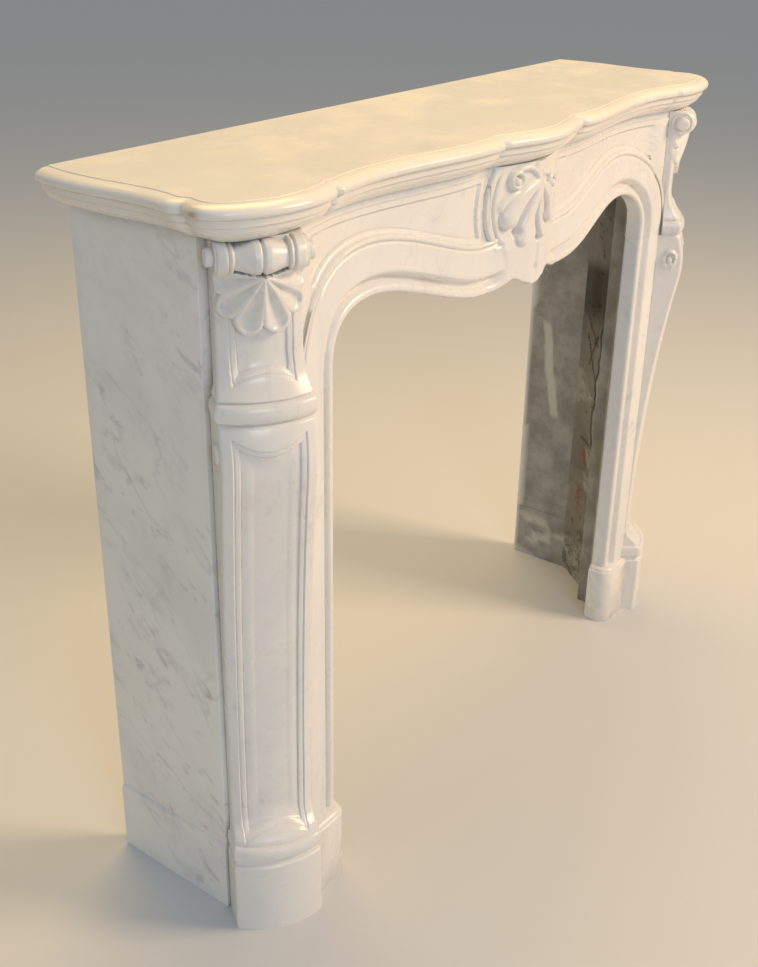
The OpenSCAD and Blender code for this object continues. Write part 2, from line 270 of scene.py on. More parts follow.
def vein_group():
    tree, given, made = group(
        "marble_veins",
        [("Vector", "NodeSocketVector", None), ("Tilt", "NodeSocketFloat", 0.55)],
        [("Vein", "NodeSocketFloat"), ("Cloud", "NodeSocketFloat")])
    turn = set_node(tree, "ShaderNodeVectorRotate", [("Vector", given.outputs["Vector"])],
                    rotation_type="AXIS_ANGLE")
    turn.inputs["Axis"].default_value = (0.8, -0.6, 0.0)
    tree.links.new(given.outputs["Tilt"], turn.inputs["Angle"])
    long = set_node(tree, "ShaderNodeVectorMath", [(0, turn.outputs[0])], operation="MULTIPLY")
    long.inputs[1].default_value = (1.0, 1.0, 0.26)
    wide = noise(tree, long.outputs[0], 7.0, 4.0, 0.6)
    cloud = ramp(tree, wide, 0.44, 0.70)
    # short soft flecks, thickest where the clouds are
    fleck = noise(tree, long.outputs[0], 58.0, 3.0, 0.6)
    short = ramp(tree, fleck, 0.56, 0.74)
    streak = noise(tree, long.outputs[0], 24.0, 5.0, 0.68)
    drawn = ramp(tree, streak, 0.52, 0.72)
    patch = noise(tree, given.outputs["Vector"], 4.4, 2.0)
    keep = ramp(tree, patch, 0.42, 0.66)
    # a few long hair veins
    hair = noise(tree, long.outputs[0], 6.5, 3.0, 0.5)
    off = do_math(tree, "ABSOLUTE", do_math(tree, "SUBTRACT", hair, 0.5))
    line = times(tree, ramp(tree, off, 0.0, 0.012, 0.7, 0.0), keep)
    body = times(tree, plus(tree, short, times(tree, drawn, 0.8)),
                   plus(tree, times(tree, keep, 0.8), 0.15))
    vein = plus(tree, body, times(tree, line, 0.6))
    tree.links.new(do_math(tree, "MINIMUM", vein, 1.0), made.inputs["Vein"])
    tree.links.new(cloud, made.inputs["Cloud"])
    return tree


def dirt_and_shade_group():
    tree, given, made = group(
        "dirt_and_shade",
        [("Vector", "NodeSocketVector", None), ("Hollow", "NodeSocketFloat", 0.0)],
        [("Dirt_and_shade", "NodeSocketFloat"), ("Wear", "NodeSocketFloat")])
    # darkens the grooves by their hollow value: partly dirt, partly painted shade where the grooves fall in
    # shadow
    grime = noise(tree, given.outputs["Vector"], 38.0, 5.0)
    uneven = ramp(tree, grime, 0.3, 0.7, 0.55, 1.1)
    tree.links.new(times(tree, ramp(tree, given.outputs["Hollow"], 0.53, 0.95), uneven),
                   made.inputs["Dirt_and_shade"])
    tree.links.new(ramp(tree, given.outputs["Hollow"], 0.46, 0.2), made.inputs["Wear"])
    return tree


VEINS, DIRT_AND_SHADE = vein_group(), dirt_and_shade_group()


# White marble: a near-white ground with soft grey clouds and fine slanting veins, polished in
# front, sawn and left rough behind, with a century of dirt and painted shade in the hollows.
def marble(name, ground=(0.83, 0.815, 0.79, 1.0), grey=(0.50, 0.51, 0.53, 1.0), vein=0.55, cloud=0.35,
           tilt=0.7, gloss=0.24, shift=(0.0, 0.0, 0.0)):
    material = bpy.data.materials.new(name)
    material.use_nodes = True
    tree = material.node_tree
    tree.nodes.clear()
    place = set_node(tree, "ShaderNodeTexCoord")
    moved = set_node(tree, "ShaderNodeVectorMath", [(0, place.outputs["Object"])], operation="ADD")
    moved.inputs[1].default_value = shift
    spot = moved.outputs[0]
    veins = set_node(tree, "ShaderNodeGroup", node_tree=VEINS)
    veins.inputs["Tilt"].default_value = tilt
    tree.links.new(spot, veins.inputs["Vector"])
    hollow = painted(tree, "hollow")
    raw = painted(tree, "raw")
    stain = painted(tree, "stain")
    dirt_and_shade = set_node(tree, "ShaderNodeGroup", node_tree=DIRT_AND_SHADE)
    tree.links.new(spot, dirt_and_shade.inputs["Vector"])
    tree.links.new(hollow, dirt_and_shade.inputs["Hollow"])
    colour = mix_colour(tree, times(tree, veins.outputs["Cloud"], cloud), ground,
                        (0.70, 0.70, 0.705, 1.0))
    colour = mix_colour(tree, times(tree, veins.outputs["Vein"], vein), colour, grey)
    warm = noise(tree, spot, 2.3, 3.0)
    colour = mix_colour(tree, ramp(tree, warm, 0.42, 0.7, 0.0, 0.35), colour, (0.84, 0.79, 0.70, 1.0))
    # dirt and painted shade in the grooves, mixed in brown grey
    colour = mix_colour(tree, times(tree, dirt_and_shade.outputs["Dirt_and_shade"], 0.40), colour, (0.40, 0.34, 0.27, 1.0))
    colour = mix_colour(tree, times(tree, stain, 0.7), colour, (0.33, 0.22, 0.12, 1.0))
    # sawn and dusty stone at the back
    saw = noise(tree, spot, 15.0, 7.0, 0.66)
    sawn = mix_colour(tree, ramp(tree, saw, 0.33, 0.70), (0.27, 0.255, 0.22, 1.0), (0.44, 0.42, 0.375, 1.0))
    plaster = painted(tree, "plaster")
    left_on = times(tree, plaster, ramp(tree, saw, 0.30, 0.46, 0.55, 1.0))
    sawn = mix_colour(tree, left_on, sawn, (0.60, 0.57, 0.49, 1.0))
    colour = mix_colour(tree, raw, colour, sawn)
    polish = noise(tree, spot, 9.0, 4.0)
    roughness = plus(tree, ramp(tree, polish, 0.35, 0.7, gloss - 0.05, gloss + 0.12),
                        times(tree, dirt_and_shade.outputs["Dirt_and_shade"], 0.35))
    roughness = do_math(tree, "MAXIMUM", roughness, times(tree, raw, 0.92))
    fine = noise(tree, spot, 90.0, 4.0)
    height = plus(tree, times(tree, fine, 0.06),
                     times(tree, times(tree, saw, raw), 1.0))
    bump = set_node(tree, "ShaderNodeBump", [("Height", height)], Strength=0.6, Distance=0.004)
    shade = set_node(tree, "ShaderNodeBsdfPrincipled", [("Base Color", colour), ("Roughness", roughness),
                                                        ("Normal", bump.outputs[0])])
    for label, value in (("IOR", 1.49), ("Subsurface Weight", 0.10), ("Subsurface Radius", (1.0, 0.8, 0.6)),
                         ("Subsurface Scale", 0.004), ("Coat Weight", 0.12), ("Coat Roughness", 0.16)):
        shade.inputs[label].default_value = value
    surface = set_node(tree, "ShaderNodeOutputMaterial", [("Surface", shade.outputs[0])])
    surface.target = "ALL"
    return material

# top, a fine quirk, a flattened bullnose, a set-back fillet and the ovolo, each point as its
# set-in from the outline and its height above the underside
profile = [(40, shelf_t), (34, shelf_t), (28, shelf_t), (23, shelf_t), (20.6, shelf_t), (20.2, shelf_t - 0.2),
           (19.8, shelf_t - 1.1), (19.3, shelf_t - 1.2)]
profile += [(nose_in * (1 - math.cos(a)), 37.5 + 9.5 * math.sin(a)) for a in np.linspace(math.pi / 2, 0, 13)]
profile += [(0.4, 35.4), (1.4, 33.6), (3.0, 32.3), (5.0, 31.6), (7.6, 31.2), (8.6, 30.8), (9.0, 29.8),
            (9.2, 22.6), (9.6, 21.9), (12.4, 21.5), (13.0, 21.0), (13.4, 19.6), (14.2, 17.0), (15.8, 14.2),
            (18.2, 11.6), (21.4, 9.2), (25.4, 6.8), (29.6, 4.6), (33.6, 2.6), (37.0, 1.0), (39.6, 0)]
rings = [np.column_stack([line[:, 0], -line[:, 1], np.full(len(line), shelf_z + z)])
         for s, z in profile for line in [shelf_line(min(s, overhang))]]
shelf = make_mesh("shelf", *tube(rings), smooth=50)


def nose_stain(p):
    """Small brown stain on the nose at the left corner, with a faint part round it."""
    spot = ((p[:, 0] + cx + 78) ** 2 + (p[:, 1] + leg_d - 27) ** 2) / 55 + ((p[:, 2] - shelf_z - 37) / 5) ** 2
    round_it = ((p[:, 0] + cx + 76) ** 2 + (p[:, 1] + leg_d - 30) ** 2) / 160
    return np.maximum(np.exp(-spot), 0.4 * np.exp(-round_it) * soft_step(p[:, 2], shelf_z + 26, shelf_z + 34))


paint(shelf, raw=lambda p, n: np.maximum((p[:, 2] < shelf_z + 0.5) * (n[:, 2] < -0.9), n[:, 1] > 0.9),
      stain=nose_stain, reach=3)
finish_piece(shelf, "shelf", marble("marble_shelf", ground=(0.85, 0.82, 0.76, 1.0), vein=0.30, cloud=0.06,
                                    gloss=0.2, shift=(3.1, 0.4, 0.0)))

# ---------------------------------------------------------------------------------------
# Frieze. One carved block under the shelf: a moulded arch round the opening, sunk fields
# beside it and the shell carving in the middle. It stands on the jambs between the consoles.
# ---------------------------------------------------------------------------------------

joint_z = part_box("frieze")[0].z * 1000
slab_d = (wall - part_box("left_side_slab")[0].y) * 1000
jamb_in = 128                                         # from the middle of the console to the opening
jamb_x = cx - jamb_in
crown_z, dip_z = 880.0, 825.0
arch_w = 74.0
under = shelf_line(overhang)
under = under[(np.abs(under[:, 0]) < cx - 30) & (under[:, 1] > 200)][::-1]


def face(x):
    """How far the face of the frieze stands from the wall."""
    return np.interp(x, under[:, 0], under[:, 1])


def half_arch():
    """Edge of the opening from the right jamb to the middle, in x and z."""
    j = jamb_x
    return np.concatenate([
        cubic([j, joint_z], [j, joint_z + 12], [j, joint_z + 16], [j, joint_z + 22], 8)[:-1],
        cubic([j, joint_z + 22], [j, (crown_z + joint_z + 40) / 2], [j - 32, crown_z], [j - 88, crown_z],
              90)[:-1],
        cubic([j - 88, crown_z], [j - 158, crown_z], [180, dip_z + 1], [95, dip_z], 150)])


arch = half_arch()
tangent = np.gradient(arch, axis=0)
tangent /= np.linalg.norm(tangent, axis=1)[:, None]
normal = np.column_stack([tangent[:, 1], -tangent[:, 0]])
# keep a point every 2.4 mm of its length
run = np.cumsum(np.linalg.norm(np.diff(arch, axis=0, prepend=arch[:1]), axis=1))
keep = np.concatenate([[True], np.diff(run // 2.4) > 0])
keep[-1] = True
arch, normal = arch[keep], normal[keep]
# the middle, where the columns stand upright: lip, apron and its two-lobed drop
mid_x = np.arange(93.5, 0, -1.25)
drop = np.interp(mid_x, [0, 3, 9, 15, 20, 26, 34, 43, 50, 58, 66, 74, 84, 95],
                 np.array([-5, -4.6, -4, -1, 1.5, 2.2, 6.5, 11, 11.5, 9.5, 6.5, 3.6, 1, 0]) + dip_z)
right = np.concatenate([arch, np.column_stack([mid_x, drop]), [[0, dip_z - 5]]])
out_way = np.concatenate([normal, np.tile([0.0, 1.0], (len(mid_x) + 1, 1))])
line = np.concatenate([right, (right * [-1, 1])[-2::-1]])
way = np.concatenate([out_way, (out_way * [-1, 1])[-2::-1]])
inner_rows, outer_rows = 54, 66
s_rows = np.linspace(0, arch_w, inner_rows)
edge_74 = line + way * arch_w
# where each column runs out, on the top or on the side
edge_x, edge_top = cx - 31, shelf_z
to_top = (edge_top - edge_74[:, 1]) / np.maximum(way[:, 1], 1e-6)
to_side = (edge_x - np.abs(edge_74[:, 0])) / np.maximum(np.abs(way[:, 0]), 1e-6)
outward = way[:, 0] * line[:, 0] > 0
go = np.where(outward & (to_side < to_top), to_side, to_top)
finish = edge_74 + way * go[:, None]
finish[:, 1] = np.minimum(finish[:, 1], edge_top)
grid = [line + way * s for s in s_rows]
for q in np.linspace(0, 1, outer_rows + 1)[1:]:
    grid.append(edge_74 + (finish - edge_74) * q)
grid = np.array(grid)                                   # rows outward from the opening, x and z
gx, gz = grid[..., 0], grid[..., 1]
gs = np.linalg.norm(grid - line[None], axis=2)          # distance from the edge of the opening

# section of the arch moulding: lip, deep cove, broad band, double fillet
section = np.array([(0, 9), (0.8, 10.8), (2.2, 12.3), (4.5, 13), (7, 13), (9.6, 12), (12, 9.6), (13.6, 6.4),
                    (15, 3.8), (17, 2.4), (19.4, 2.3), (21.6, 3.8), (23.6, 7), (25.4, 10.2), (27.2, 12.4),
                    (29.4, 13.2), (32, 13), (36, 11.8), (42, 10.2), (50, 8.4), (58, 7.0), (62.5, 6.3),
                    (64.4, 5.2), (65.4, 3.6), (66.6, 3.6), (67.6, 5.4), (69, 6.1), (71, 6.0), (72.4, 4.8),
                    (73.2, 2.0), (74, 0)])


def frieze_relief(x, z, s):
    """Height of the plain carved work: arch moulding, sunk fields and bowed bands."""
    ax = np.abs(x)
    proud = np.interp(s, section[:, 0], section[:, 1])
    # beside the middle the moulding dies into the flanking bands
    into = soft_step(ax, 62, 84)
    low_lip = np.interp(s, [0, 0.8, 2.2, 9, 13, 20, 30, 60], [9, 10.8, 12.2, 12.6, 12, 11, 10, 8])
    plain = np.where(s < arch_w, low_lip, 0)
    side_in = 100 + 13 * (1 - ((z - 945) / 48) ** 2)
    side_in = np.clip(side_in, 96, 113)
    inside = np.minimum(np.minimum(984 - z, ax - side_in), np.minimum(s - 78.0, 457 - ax))
    frame_line = -4.2 * soft_step(inside, 0, 3.2) - 1.6 * soft_step(inside, -9.5, -7.8)
    field = np.where(s > arch_w, frame_line * np.clip((s - arch_w) / 4, 0, 1), 0)
    # two bowed bands between the field and the carving
    across = side_in - 11 - ax
    bands = np.interp(across, [-2, 0, 1.6, 3.4, 10.5, 12.4, 13.6, 15, 16.6, 24, 26.5, 28.5, 34],
                      [0, 0, -3.0, 4.6, 5.6, 4.4, 0.6, 0.6, 5.2, 6.4, 5.2, 1.0, 0.0])
    bands *= soft_step(z, 889, 901) * soft_step(shelf_z - z, -2, 6)
    relief = np.where(s < arch_w, proud * into + plain * (1 - into), field)
    beside = np.maximum(bands, np.where(s < arch_w, relief * into, -9))
    return np.where((across > -2) & (z > 889), beside, relief)


def lobe(x, z, path, wide, tall, flute):
    """Rounded leaf along a bent path: wide and tall are its half width and height, root to tip."""
    p = cubic(path[0], path[1], path[2], path[3], 40)
    best, at = np.full(x.shape, 1e9), np.zeros(x.shape)
    for i, q in enumerate(p):
        d = np.hypot(x - q[0], z - q[1]) / np.interp(i / 40, [0, 0.5, 1], wide)
        new = d < best
        best, at = np.where(new, d, best), np.where(new, i / 40, at)
    dome = np.sqrt(np.clip(1 - best ** 2, 0, 1))
    high = np.interp(at, [0, 0.5, 1], tall)
    groove = flute * np.exp(-(best / 0.45) ** 2) * soft_step(1 - at, 0.0, 0.2)
    return np.where(best < 1, high * dome ** 0.7 - groove, -99)


def blend_max(a, b, k=1.2):
    """The higher of two heights, with a small fillet of size k where they meet."""
    h = np.clip(0.5 + 0.5 * (a - b) / k, 0, 1)
    return b + (a - b) * h + k * h * (1 - h) * 0.5


def centre_carving(x, z):
    ground = 4.0 + 3.5 * np.exp(-(x / 30) ** 2) + 2.0 * soft_step(z, 900, 985)
    apron = 11.2 + 1.6 * np.exp(-((x + 16) / 13) ** 2) + 1.4 * np.exp(-((x - 19) / 12) ** 2)
    apron = apron - 2.6 * np.exp(-((x - 3) / 4.5) ** 2) * soft_step(z, 826, 846)
    apron = apron - 2.5 * np.exp(-((z - 846) / 5) ** 2 - ((x - 3) / 5) ** 2)
    ground = ground + (apron - ground) * soft_step(z, 912, 876)
    high = ground
    parts = [
        # broad left leaf, the long middle one, the small knob, and the right leaf
        lobe(x, z, [(4, 972), (-14, 968), (-44, 956), (-60, 929)], [7, 12.5, 17.5], [14, 15.5, 17.4], 1.2),
        lobe(x, z, [(4, 968), (-6, 944), (-26, 926), (-34, 894)], [7, 11.5, 13], [15, 16, 16.8], 1.8),
        lobe(x, z, [(6, 962), (5, 938), (3, 918), (13, 894)], [6, 8.5, 8], [14, 14, 16], 0.6),
        lobe(x, z, [(10, 966), (30, 958), (46, 944), (48, 918)], [6, 13, 15.5], [13, 16, 16], 1.6),
        # small leaves that close the fan at both sides
        lobe(x, z, [(-26, 966), (-48, 962), (-66, 956), (-76, 944)], [4, 6, 7], [11, 12, 10], 1.0),
        lobe(x, z, [(40, 952), (54, 950), (62, 940), (64, 924)], [4, 6, 7], [10, 11, 9], 1.0),
        # crest between the volutes
        lobe(x, z, [(2, 999), (2, 990), (2, 980), (2, 962)], [17, 13, 9], [14, 15, 14], 3.0),
    ]
    for part in parts:
        high = blend_max(high, part)
    for side, ex, ez in ((-1, -52, 979), (1, 43, 962)):
        r = np.hypot(x - ex, z - ez)
        turn = np.arctan2(z - ez, (x - ex) * side)
        # band of the volute opens as it turns up and over to the middle
        swell = 10.6 + 2.6 * np.cos(turn - 2.0)
        volute = np.interp(r, [0, 4.2, 5.8, 7.0, 8.0], [16.5, 15.6, 12.0, 8.0, 7.0])
        ring = 14.5 * np.sqrt(np.clip(1 - ((r - swell) / 4.2) ** 2, 0, 1)) ** 0.8
        curl = np.where(r < swell + 4.2, np.maximum(volute * (r < 8.0), ring), -99)
        high = blend_max(high, np.where(r < swell + 4.2, np.maximum(curl, 6.0), -99))
        stem = [(ex, ez + 12), (ex * 0.7, ez + 21), (ex * 0.4, ez + 20), (ex * 0.15, 984)]
        high = blend_max(high, lobe(x, z, stem, [4.5, 5.5, 5], [14, 15, 14], 0.8))
    # drilled pits
    for at_x, at_z, size, deep in ((5, 890, 3.2, 9), (-80, 896, 3, 6), (80, 896, 3, 6), (-43, 905, 5, 6),
                                   (28, 981, 3.6, 8), (30, 912, 5, 5)):
        high = high - deep * np.exp(-((x - at_x) ** 2 + (z - at_z) ** 2) / size ** 2)
    return high


relief = frieze_relief(gx, gz, gs)
carved = centre_carving(gx, gz)
# the carving fills the middle and fades to the bands; the apron keeps a rounded lip
verge = np.interp(gz, [818, 828, 850, 880, 900, 930], [50, 53, 60, 66, 72, 78])
fade = 1 - soft_step(np.abs(gx), verge - 5, verge + 5)
lip = np.interp(gs, [0, 1, 2.6, 5], [-4.0, -1.6, -0.3, 0.0])
middle = carved + lip
blocks = 8.0 * np.exp(-(((np.abs(gx) - 76) / 8) ** 6 + ((gz - 884) / 7) ** 6))
relief = np.where(fade > 0, relief * (1 - fade) + middle * fade, relief)
by_band_foot = (gz < 897) & (np.abs(gx) > 60) & (np.abs(gx) < 92) & (gs > 40)
relief = np.where(by_band_foot, np.maximum(relief, blocks), relief)
front = -(face(gx) + np.minimum(relief, 17.4))
rows, columns = gx.shape
frieze_back = slab_d + 10
# front, then the sawn back: flat in the middle, cut away over the jambs to their own thickness
back = -np.interp(np.abs(gx), [300, 395, jamb_x, jamb_x + 20, jamb_x + 42, jamb_x + 60],
                  [frieze_back, leg_d - 32, leg_d - 30, slab_d + 31, slab_d + 20, slab_d + 13])
shell = np.stack([gx, front, gz], -1)
rear = np.stack([gx, back, gz], -1)
soffit = [np.stack([line[:, 0], front[0] + (back[0] - front[0]) * q, line[:, 1]], -1) for q in
          (0.02, 0.05, 0.1, 0.2, 0.35, 0.5, 0.7, 0.85)]
lid = [np.stack([gx[-1], front[-1] + (back[-1] - front[-1]) * q, gz[-1]], -1) for q in (0.35, 0.7)]
every = 7                                               # the back needs few rows
loop = np.concatenate([shell, lid, rear[::-1][::every][:-1], rear[:1], soffit[::-1]])
faces = grid_faces(len(loop) + 1, columns)
faces = faces % (len(loop) * columns)
ends = [tuple(i * columns for i in range(len(loop))), tuple((i + 1) * columns - 1 for i in range(len(loop)))]
frieze = make_mesh("frieze", loop.reshape(-1, 3), [tuple(f) for f in faces] + ends, smooth=42, near=1e-6)
cant = math.radians(34.6)
end_t = 52.0


def console_point(p):
    """From the left console's own frame, front along -Y and the opening along +X, to the wall's frame."""
    p = np.asarray(p, float)
    x = -cx + p[..., 0] * math.cos(cant) + p[..., 1] * math.sin(cant)
    y = -leg_d - p[..., 0] * math.sin(cant) + p[..., 1] * math.cos(cant)
    return np.stack([x, y, p[..., 2]], -1)


def block(name, corners, z0, z1, place=None):
    """Upright prism on a ring of corners in plan."""
    base = [(x, y, z0) for x, y in corners] + [(x, y, z1) for x, y in corners]
    n = len(corners)
    faces = [tuple(range(n)), tuple(range(2 * n - 1, n - 1, -1))]
    faces += [(i, (i + 1) % n, n + (i + 1) % n, n + i) for i in range(n)]
    base = np.array(base, float)
    if place is not None:
        base = place(base)
    return make_mesh(name, base, faces)


def mirrored(p):
    return console_point(p) * [-1, 1, 1]


def apply_steps(obj):
    """Makes an object's modifiers part of its mesh."""
    bpy.context.view_layer.update()
    mesh = bpy.data.meshes.new_from_object(obj.evaluated_get(bpy.context.evaluated_depsgraph_get()))
    obj.modifiers.clear()
    old, obj.data = obj.data, mesh
    bpy.data.meshes.remove(old)


def join(obj, others, how="UNION"):
    """Boolean of closed shells; the others are used up."""
    for other in others:
        step = obj.modifiers.new("join", "BOOLEAN")
        step.operation, step.object, step.solver = how, other, "MANIFOLD"
        apply_steps(obj)
        bpy.data.objects.remove(other)
    return obj


# the ends are cut off where they meet the consoles
beyond = [(-200, -200), (end_t, -200), (end_t, 200), (-200, 200)]
for place in (console_point, mirrored):
    join(frieze, [block("cut", beyond, joint_z - 9, shelf_z + 9, place)], "DIFFERENCE")
clean(frieze, 42, 1e-6)
paint(frieze, raw=lambda p, n: np.maximum(
    soft_step(-p[:, 1], frieze_back + 26, frieze_back + 14),
    (np.abs(n[:, 0]) > 0.6) & (np.abs(p[:, 0]) > 455) | (n[:, 1] > 0.6)), reach=3)
finish_piece(frieze, "frieze", marble("marble_frieze", vein=0.35, cloud=0.25, shift=(0.7, 2.2, 1.0)))

# ---------------------------------------------------------------------------------------
# Legs. Each is one block: a console turned outward, with a bowed and panelled front, a
# shell under a scroll at its head and a moulded plinth, and beside it the jamb of the opening.
# ---------------------------------------------------------------------------------------

# the console's front is part of a drum: its width and rise give the drum's axis
console_w, bow = 125.0, 17.0
bow_axis = (console_w ** 2 / 4 + bow ** 2) / (2 * bow) - bow


def bulge(z, middle, half, rise):
    """Half-round swelling of a torus."""
    return rise * np.sqrt(np.clip(1 - ((z - middle) / half) ** 2, 0, 1))


torus_z = joint_z + 11
# height and reach forward down the middle of the console, then height and half width
crest_line = np.concatenate([
    [(0, 17), (111.5, 17), (113.2, 16.8), (114.4, 16.1), (115.1, 15), (115.7, 13.2), (118, 12.6),
     (121.4, 12.4)],
    [(z, 12.4 + bulge(z, 133, 11.6, 4.8)) for z in np.linspace(121.6, 144.4, 22)],
    [(144.8, 11.4), (145.4, 9.0)],
    cubic([146.4, 8.3], [160, 8.0], [160, -12], [183, -12], 20),
    cubic([183, -12], [430, -12], [600, 6], [702, 24], 60)[1:],
    cubic([702, 24], [735, 29], [764, 24], [782, 17.4], 24)[1:],
    [(783.6, 15.6), (785.0, 13.6), (786.6, 13.4)],
    [(z, 13.6 + bulge(z, torus_z, 11.8, 6.2)) for z in np.linspace(torus_z - 11.7, torus_z + 11.7, 22)],
    [(811.4, 13.2), (812.2, 11.6), (813.2, 11.4), (814, 13.0), (815.6, 12.6)],
    cubic([816, 12.2], [826, 4.4], [836, -5.6], [864, -8], 20), [(shelf_z, -8)]])
side_line = np.concatenate([
    [(0, 62.5), (111.5, 62.5), (113.6, 62.3), (115.1, 61.4), (115.8, 60.4), (121.4, 60.2)],
    [(z, 60.2 + bulge(z, 133, 11.6, 2.3)) for z in np.linspace(121.6, 144.4, 14)],
    [(145.4, 59.6)],
    cubic([146.4, 59.2], [158, 58.8], [160, 57], [184, 57], 12),
    [(420, 58), (782, 58.4), (786.6, 57.8)],
    [(z, 57.8 + bulge(z, torus_z, 11.8, 4.6)) for z in np.linspace(torus_z - 11.7, torus_z + 11.7, 16)],
    [(812.2, 57.6), (814, 58.2)],
    cubic([816, 58], [824, 56.8], [832, 52.6], [866, 52], 14), [(shelf_z, 52)]])


def inside_of(t, z, half, z_low, z_high):
    """Distance inward from the outline of a sunk panel."""
    return np.minimum(half - np.abs(t), np.minimum(z_high - z, z - z_low))


def panel_depth(inside, hollow):
    """Fine quirk at the outline, a slanting border, a second quirk and the hollow field."""
    border = np.interp(inside, [-0.6, 0.9, 2.4, 7.2, 8.6, 10.2, 12], [0, 2.2, 1.6, 3.0, 5.4, 5.3, 5.5])
    return -border - hollow * np.interp(inside, [10.5, 24], [0, 1])


hub_z = 961


def shell_height(t, z):
    """Fan of six scooped flutes between rounded ribs, hanging from the scroll."""
    r = np.hypot(t, z - hub_z)
    a = np.degrees(np.arctan2(t, hub_z - z))
    ribs = np.array([-98, -64, -34, 0, 34, 64, 98.0])
    k = np.clip(np.searchsorted(ribs, a) - 1, 0, 5)
    phase = np.clip((a - ribs[k]) / (ribs[k + 1] - ribs[k]), 0, 1)
    scallop = np.sin(np.pi * phase) ** 0.8
    edge = np.interp(np.abs(a), [0, 17, 34, 49, 64, 80, 98], [72, 75, 71, 67, 61, 60, 54])
    rho = r / (edge * (0.85 + 0.15 * scallop))
    rib = 4.6 + 16 * (1 - np.clip(rho, 0, 1)) ** 0.9
    scoop = 7.8 * np.interp(rho, [0, 0.15, 0.4, 0.74, 0.9, 1.0], [0, 0.25, 0.8, 1.0, 0.62, 0.2])
    lip = 2.6 * np.exp(-((rho - 0.94) / 0.05) ** 2)
    high = rib - scoop * np.sin(np.pi * phase) ** 2 + lip * np.sin(np.pi * phase)
    return np.where((rho < 1) & (np.abs(a) < 98), np.maximum(high, 0.6), 0)


def roll_radius(t):
    """Radius of the scroll along its length: two waisted rolls, a collar and a plain end each way."""
    return 0.95 * np.interp(
        np.abs(t + 2),
        [0, 0.8, 1.8, 3.5, 9, 16, 24, 30.5, 31.6, 33, 34.6, 36, 37, 38, 39.5, 44, 49, 51, 52, 56],
        [18.0, 18.4, 20.2, 21, 20.6, 18.6, 16.0, 14.6, 17.6, 19.4, 19.4, 18.2, 17.2, 20.2, 21, 21, 21, 20.6,
         19.6, 18])


z_rows = np.unique(np.concatenate([
    np.linspace(0, 110, 12), np.arange(111, 147, 0.95), np.arange(147, 176, 0.9), np.arange(176, 740, 7.5),
    np.arange(740, 818, 0.9), np.arange(818, 850, 0.85), np.arange(850, 882, 2.4),
    np.arange(882, shelf_z, 1.1), [shelf_z]]))
u = np.linspace(-1, 1, 113)
u = np.sign(u) * (1 - (1 - np.abs(u)) ** 1.12)
Z, U = np.meshgrid(z_rows, u, indexing="ij")
W = np.interp(Z, side_line[:, 0], side_line[:, 1])
T = U * W
reach = np.interp(Z, crest_line[:, 0], crest_line[:, 1])
long_low = 150 + 14 * (1 - (T / 45) ** 2)
long_high = 771 - 16 * (1 - (T / 45) ** 2)
inside = inside_of(T, Z, 45, long_low, long_high)
hollow = 3.4 * np.clip(1 - (T / 34) ** 2, 0, 1)
reach = reach + panel_depth(inside, hollow) * (inside > -1)
neck_low = 829 + 11 * (1 - (T / 38) ** 2)
inside = inside_of(T, Z, 38, neck_low, 990)
reach = reach + panel_depth(inside, 0.8) * (inside > -1) * 0.9
shell = shell_height(T, Z)
reach = np.where(shell > 0, -8 + shell, reach)
roll_z = shelf_z - 20
R = roll_radius(T)
roll_out = np.sqrt(np.clip(R ** 2 - (Z - roll_z) ** 2, 0, None))
reach = np.where((np.abs(Z - roll_z) < R) & (Z > 960), np.maximum(reach, roll_out), reach)
front_y = bow_axis - np.sqrt((bow_axis + reach) ** 2 - T ** 2)
corner = 2.6
over = np.clip((np.abs(T) - (W - corner)) / corner, 0, 1)
front_y = front_y + corner * (1 - np.sqrt(1 - over ** 2))
back_y = np.where(z_rows < joint_z - 2, 42.0, 29.0)[:, None]
q = np.linspace(0, 1, 24)[1:]
oval_y, oval_z = 9, 742
side_rows = []
for side in (1, -1):
    edge = front_y[:, -1] if side > 0 else front_y[:, 0]
    y = edge[:, None] + (back_y - edge[:, None]) * q[None]
    z = np.repeat(z_rows[:, None], len(q), 1)
    x = np.repeat(W[:, -1:], len(q), 1)
    # oval scroll on the console's side, under the torus
    far = np.hypot((y - oval_y) / 0.72, z - oval_z)
    turn = np.arctan2(z - oval_z, (y - oval_y) / 0.72)
    scroll = 4.6 * np.exp(-((far - 13.5 - 1.2 * turn / math.pi) / 2.8) ** 2) + 5.0 * np.exp(-(far / 5.5) ** 4)
    x = x + scroll - 1.0 * (far < 12) * (far > 6)
    side_rows.append(np.stack([side * x, y, z], -1))
front_grid = np.stack([T, front_y, Z], -1)
rings = np.concatenate([front_grid, side_rows[0], side_rows[1][:, ::-1]], axis=1)
roll_back = bow_axis - math.sqrt(bow_axis ** 2 - end_t ** 2)


def spun(outline, at, way):
    """Turned shape on the roll's end axis; outline is (out along the axis, radius)."""
    outline = np.asarray(outline, float)
    a = np.linspace(0, 2 * math.pi, 56, endpoint=False)
    return tube([np.column_stack([np.full(len(a), way * (at + s)), roll_back + r * np.sin(a),
                                  roll_z + r * np.cos(a)]) for s, r in outline])


scroll_end = [(-6, 17), (-1.0, 18.8), (0.6, 18.8), (1.4, 18.2), (1.7, 17.2), (1.3, 16.2), (0.5, 15.4),
              (0.4, 14), (1.2, 13.2), (1.4, 12.4), (0.9, 11.6), (1.4, 11.0), (8.6, 10.8), (10, 10),
              (10.8, 8.2), (11, 5), (11, 1)]


